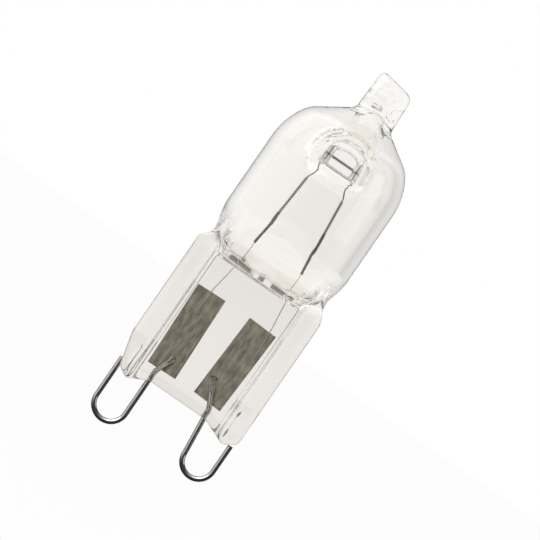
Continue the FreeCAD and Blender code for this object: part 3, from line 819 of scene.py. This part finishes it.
# The jaws left it slightly dull, most of all beside the neck
press_haze = eased(tree, height, 0.0122, 0.013, 0.08, 0.02)
outer_haze = eased(tree, maths(tree, "ABSOLUTE", across), 0.0045, 0.0051, end=0.28)
neck_low = eased(tree, height, 0.0118, 0.0134)
neck_high = eased(tree, height, 0.0155, 0.0185, 1.0, 0.0)
neck = maths(tree, "MULTIPLY", neck_low, neck_high)
link(maths(tree, "MULTIPLY_ADD", outer_haze, neck, press_haze), shader.inputs["Roughness"])

# Fine wrinkles where the tip was pinched off
folds = tree.nodes.new("ShaderNodeTexNoise")
folds.inputs["Scale"].default_value = 900
folds.inputs["Detail"].default_value = 2
bump = tree.nodes.new("ShaderNodeBump")
bump.inputs["Strength"].default_value = 0.5
bump.inputs["Distance"].default_value = 0.0006
pinched = eased(tree, height, 0.0314, 0.0328)
link(spot.outputs["Object"], folds.inputs["Vector"])
link(maths(tree, "MULTIPLY", folds.outputs["Fac"], pinched), bump.inputs["Height"])
link(bump.outputs["Normal"], shader.inputs["Normal"])

# Shadow rays and rays caught in the glass for long go straight through
clear = tree.nodes.new("ShaderNodeBsdfTransparent")
ray = tree.nodes.new("ShaderNodeLightPath")
caught = maths(tree, "GREATER_THAN", ray.outputs["Ray Depth"], 9)
mix = tree.nodes.new("ShaderNodeMixShader")
link(maths(tree, "MAXIMUM", caught, ray.outputs["Is Shadow Ray"]), mix.inputs["Fac"])
link(shader.outputs["BSDF"], mix.inputs[1])
link(clear.outputs["BSDF"], mix.inputs[2])
link(mix.outputs["Shader"], tree.nodes["Material Output"].inputs["Surface"])

net_axes = [net_axis(*NET_X), net_axis(*NET_Y), net_axis(*NET_Z)]
glass_points, glass_faces = surface_net(quartz_field, net_axes)
glass_points = settle(quartz_field, glass_points)

# The bubble and the capillaries round the base wires are hollows in the quartz, so their faces look inwards
skin_points = glass_points.tolist()
skin_faces = glass_faces.tolist()
bubble_points, bubble_faces = bubble_mesh(BUBBLE_CENTRE, BUBBLE_HALVES)
skin_faces += [tuple(i + len(skin_points) for i in face) for face in bubble_faces]
skin_points += bubble_points.tolist()
for hand, (line, level, flat) in loop_runs.items():
    inside = (line[:, 1] > CAPILLARY_MOUTH) & (line[:, 1] < CAPILLARY_TOP)
    inside[len(line) // 2:] = False
    mouth = (line[inside][-1][0], CAPILLARY_MOUTH)
    bore_line = np.vstack([line[inside], mouth])
    bore_level = np.append(level[inside], WIRE_Y)
    bore_flat = np.append(flat[inside], 1.0)
    bore_path = np.stack([bore_line[:, 0], bore_level, bore_line[:, 1]], axis=1)
    bore = wire("bore_" + hand, bore_path, BORE_SPACING, BORE_SIDES, quartz, CAPILLARY_RADIUS,
                level=bore_level, flat=bore_flat)
    start = len(skin_points)
    skin_points += [tuple(v.co / MM) for v in bore.data.vertices]
    skin_faces += [tuple(start + i for i in reversed(face.vertices)) for face in bore.data.polygons]
    bpy.data.objects.remove(bore)

glass_mesh = bpy.data.meshes.new("envelope")
glass_mesh.from_pydata((np.asarray(skin_points) * MM).tolist(), [], skin_faces)
glass_mesh.polygons.foreach_set("use_smooth", [True] * len(glass_mesh.polygons))
glass_mesh.materials.append(quartz)
glass_mesh.update()
envelope = bpy.data.objects.new("envelope", glass_mesh)
bpy.context.collection.objects.link(envelope)
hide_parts("quartz_envelope")
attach(envelope, "root")


# Floor, backdrop light and camera.
# A pale floor well under the lamp, a white surround that the glass shows, and a long lens from the front.
# Metal and the skin of the glass mirror one soft box, high on the left in front.

FLOOR_Z = -0.028
FLOOR_HALF = 3
SOFT_BOX_WAY = (-0.75, -0.35, 0.56)
LAMP_MIDDLE = (0, 0, 0.014)
LIGHT_COLOUR = (1.0, 0.985, 0.96)
CAMERA_PLACE = (0.0002, -0.4116, 0.0146)
CAMERA_ROLL = math.radians(34.6)
BOUNCES = 24


def soft_box_glow():
    """Shader nodes that put out how bright the surround is where a mirror shows a direction."""
    group = bpy.data.node_groups.new("soft_box_glow", "ShaderNodeTree")
    group.interface.new_socket("Direction", in_out="INPUT", socket_type="NodeSocketVector")
    group.interface.new_socket("Brightness", in_out="OUTPUT", socket_type="NodeSocketFloat")
    entry = group.nodes.new("NodeGroupInput")
    done = group.nodes.new("NodeGroupOutput")
    towards = group.nodes.new("ShaderNodeVectorMath")
    towards.operation = "DOT_PRODUCT"
    towards.inputs[1].default_value = SOFT_BOX_WAY
    group.links.new(entry.outputs["Direction"], towards.inputs[0])
    brightness = eased(group, towards.outputs["Value"], 0.35, 0.8, 0.05, 1.0)
    group.links.new(brightness, done.inputs["Brightness"])
    return group


def mirrored_glow(tree, direction):
    """Brightness of the surround in a mirror, for a direction."""
    glow = tree.nodes.new("ShaderNodeGroup")
    glow.node_tree = glow_nodes
    tree.links.new(direction, glow.inputs["Direction"])
    return glow.outputs["Brightness"]


def number_mix(tree, factor, a, b):
    """Number between two numbers; each is a socket or a plain value."""
    between = tree.nodes.new("ShaderNodeMix")
    between.data_type = "FLOAT"
    tree.links.new(factor, between.inputs["Factor"])
    for name, value in (("A", a), ("B", b)):
        if isinstance(value, bpy.types.NodeSocket):
            tree.links.new(value, between.inputs[name])
        else:
            between.inputs[name].default_value = value
    return between.outputs["Result"]


def mirror_ray(tree, ray):
    """1 for a ray that was mirrored, 0 for one that went through glass: those carry both marks."""
    glossy = ray.outputs["Is Glossy Ray"]
    return maths(tree, "SUBTRACT", glossy, ray.outputs["Is Transmission Ray"], clamp=True)


glow_nodes = soft_box_glow()

floor_finish, shader = new_material("pale_floor")
shader.inputs["Base Color"].default_value = (0.98, 0.98, 0.975, 1)
shader.inputs["Roughness"].default_value = 0.9
tree = floor_finish.node_tree
link = tree.links.new
ray = tree.nodes.new("ShaderNodeLightPath")
spot = tree.nodes.new("ShaderNodeNewGeometry")
way = tree.nodes.new("ShaderNodeVectorMath")
way.operation = "NORMALIZE"
link(spot.outputs["Position"], way.inputs[0])
mirrored = mirror_ray(tree, ray)
glow = tree.nodes.new("ShaderNodeEmission")
glow.inputs["Color"].default_value = (1, 1, 1, 1)
link(number_mix(tree, mirrored, 1.0, mirrored_glow(tree, way.outputs["Vector"])), glow.inputs["Strength"])
seen = maths(tree, "MAXIMUM", ray.outputs["Is Camera Ray"], ray.outputs["Is Transmission Ray"])
mix = tree.nodes.new("ShaderNodeMixShader")
link(maths(tree, "MULTIPLY_ADD", seen, 0.95, mirrored, clamp=True), mix.inputs["Fac"])
link(shader.outputs["BSDF"], mix.inputs[1])
link(glow.outputs["Emission"], mix.inputs[2])
link(mix.outputs["Shader"], tree.nodes["Material Output"].inputs["Surface"])

floor_corners = [(x * FLOOR_HALF, y * FLOOR_HALF, FLOOR_Z) for x, y in ((-1, -1), (1, -1), (1, 1), (-1, 1))]
floor_mesh = bpy.data.meshes.new("floor")
floor_mesh.from_pydata(floor_corners, [], [(0, 1, 2, 3)])
floor_mesh.materials.append(floor_finish)
floor = bpy.data.objects.new("floor", floor_mesh)
bpy.context.collection.objects.link(floor)

# Bright ahead of the camera and overhead, darker behind it, a little duller to the right
world = bpy.data.worlds.new("studio")
bpy.context.scene.world = world
world.use_nodes = True
tree = world.node_tree
tree.nodes.clear()
link = tree.links.new
aim = tree.nodes.new("ShaderNodeTexCoord")
split = tree.nodes.new("ShaderNodeSeparateXYZ")
link(aim.outputs["Generated"], split.inputs[0])
ahead = eased(tree, split.outputs["Y"], -0.3, 0.7, 0.18, 1.0)
above = eased(tree, split.outputs["Z"], 0.82, 0.95)
aside = eased(tree, split.outputs["X"], 0.1, 0.9, 1.0, 0.7)
card = eased(tree, split.outputs["X"], -0.09, -0.02, 1.0, 0.94)
around = maths(tree, "MAXIMUM", ahead, above)
surround = maths(tree, "MULTIPLY", around, maths(tree, "MULTIPLY", aside, card))
ray = tree.nodes.new("ShaderNodeLightPath")
shown = number_mix(tree, mirror_ray(tree, ray), surround, mirrored_glow(tree, aim.outputs["Generated"]))
back = tree.nodes.new("ShaderNodeBackground")
back.inputs["Color"].default_value = (1, 1, 1, 1)
link(number_mix(tree, ray.outputs["Is Camera Ray"], shown, 1.0), back.inputs["Strength"])
sky = tree.nodes.new("ShaderNodeOutputWorld")
link(back.outputs["Background"], sky.inputs["Surface"])


def soft_light(name, place, size, power):
    """Square soft box that faces the lamp; the glass doesn't show it by refraction."""
    lamp = bpy.data.lights.new(name, "AREA")
    lamp.shape = "SQUARE"
    lamp.size = size
    lamp.energy = power
    lamp.color = LIGHT_COLOUR
    box = bpy.data.objects.new(name, lamp)
    way = np.array(place) - np.array(LAMP_MIDDLE)
    z = way / np.linalg.norm(way)
    x = np.cross((0, 0, 1), z)
    x = x / np.linalg.norm(x)
    y = np.cross(z, x)
    box.matrix_world = Matrix((*zip(x, y, z, place), (0, 0, 0, 1)))
    box.visible_transmission = False
    bpy.context.collection.objects.link(box)


soft_light("key", (-0.22, -0.24, 0.24), 0.36, 1.1)
soft_light("fill", (0.3, -0.1, 0.12), 0.2, 0.15)

camera_data = bpy.data.cameras.new("camera")
camera_data.sensor_width = 36
camera_data.lens = 300
camera_data.clip_start = 0.005
camera_data.clip_end = 20
camera = bpy.data.objects.new("camera", camera_data)
camera.matrix_world = Matrix([
    (math.cos(CAMERA_ROLL), -math.sin(CAMERA_ROLL), 0, CAMERA_PLACE[0]),
    (0, 0, -1, CAMERA_PLACE[1]),
    (math.sin(CAMERA_ROLL), math.cos(CAMERA_ROLL), 0, CAMERA_PLACE[2]),
    (0, 0, 0, 1),
])
bpy.context.collection.objects.link(camera)
scene = bpy.context.scene
scene.camera = camera
scene.view_settings.view_transform = "Standard"
scene.cycles.max_bounces = BOUNCES
scene.cycles.glossy_bounces = BOUNCES
scene.cycles.transmission_bounces = BOUNCES
scene.cycles.transparent_max_bounces = BOUNCES
